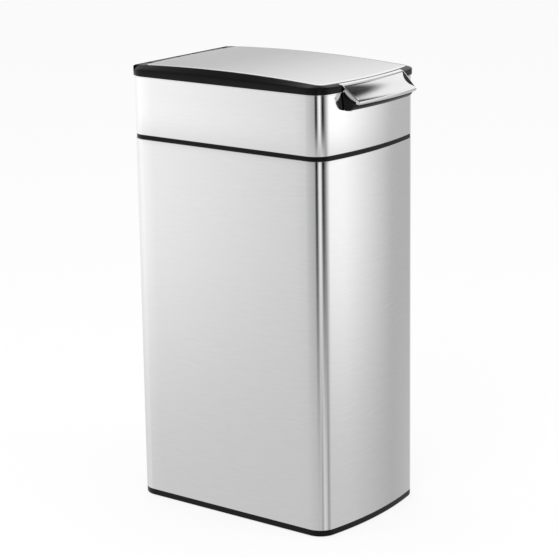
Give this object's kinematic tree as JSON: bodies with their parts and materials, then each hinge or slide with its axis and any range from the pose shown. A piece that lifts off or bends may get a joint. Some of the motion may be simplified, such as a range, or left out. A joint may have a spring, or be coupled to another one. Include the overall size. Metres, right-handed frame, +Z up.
{
  "type": "touch bar kitchen bin",
  "caption": "Slim floor-standing kitchen bin: brushed steel body and ring, black base and lid frame, arched steel lid that a spring opens when the front bar is pressed.",
  "frame": {"origin": "on the floor, under the middle of the overall box", "axes": "+Z up, -Y towards the front with the touch bar, +X to the right seen from the front"},
  "size_m": [0.24, 0.3898, 0.6557],
  "materials": {
    "brushed_steel": "fine brushed grain, satin",
    "black_plastic": "black, lightly textured satin",
    "pin_steel": "bright zinc-plated steel",
    "spring_steel": "drawn spring wire",
    "grey_rubber": "matte rubber"
  },
  "bodies": {
    "body": {"base_tray": "black_plastic", "base_feet": "grey_rubber", "body_shell": "brushed_steel", "body_rim": "black_plastic", "bag_rim": "black_plastic", "ring_hinge_pins": "pin_steel"},
    "ring": {"ring_shell": "brushed_steel", "ring_frame": "black_plastic", "rear_cover": "black_plastic", "lid_hinge_pin": "pin_steel", "lid_spring": "spring_steel", "bar_pivot_pin": "pin_steel", "bar_spring": "spring_steel"},
    "lid": {"lid_frame": "black_plastic", "lid_panel": "brushed_steel", "lid_liner": "black_plastic", "lid_screws": "pin_steel", "lid_bumpers": "grey_rubber", "latch_catch": "pin_steel"},
    "touch_bar": {"bar_cover": "brushed_steel", "bar_carrier": "black_plastic", "bar_screws": "pin_steel"}
  },
  "joints": [
    {"name": "ring_hinge", "type": "hinge", "parent": "body", "child": "ring", "pos_m": [0, 0.1899, 0.549], "axis": [-1, 0, 0], "range_deg": [0, 80]},
    {"name": "lid_hinge", "type": "hinge", "parent": "ring", "child": "lid", "pos_m": [0, 0.1721, 0.64686], "axis": [-1, 0, 0], "range_deg": [0, 85], "deforming": ["lid_spring"]},
    {"name": "bar_press", "type": "hinge", "parent": "ring", "child": "touch_bar", "pos_m": [0, -0.1507, 0.621], "axis": [1, 0, 0], "range_deg": [0, 6], "stiffness_Nm_per_rad": 2, "springref_deg": -11.46, "deforming": ["bar_spring"]}
  ]
}
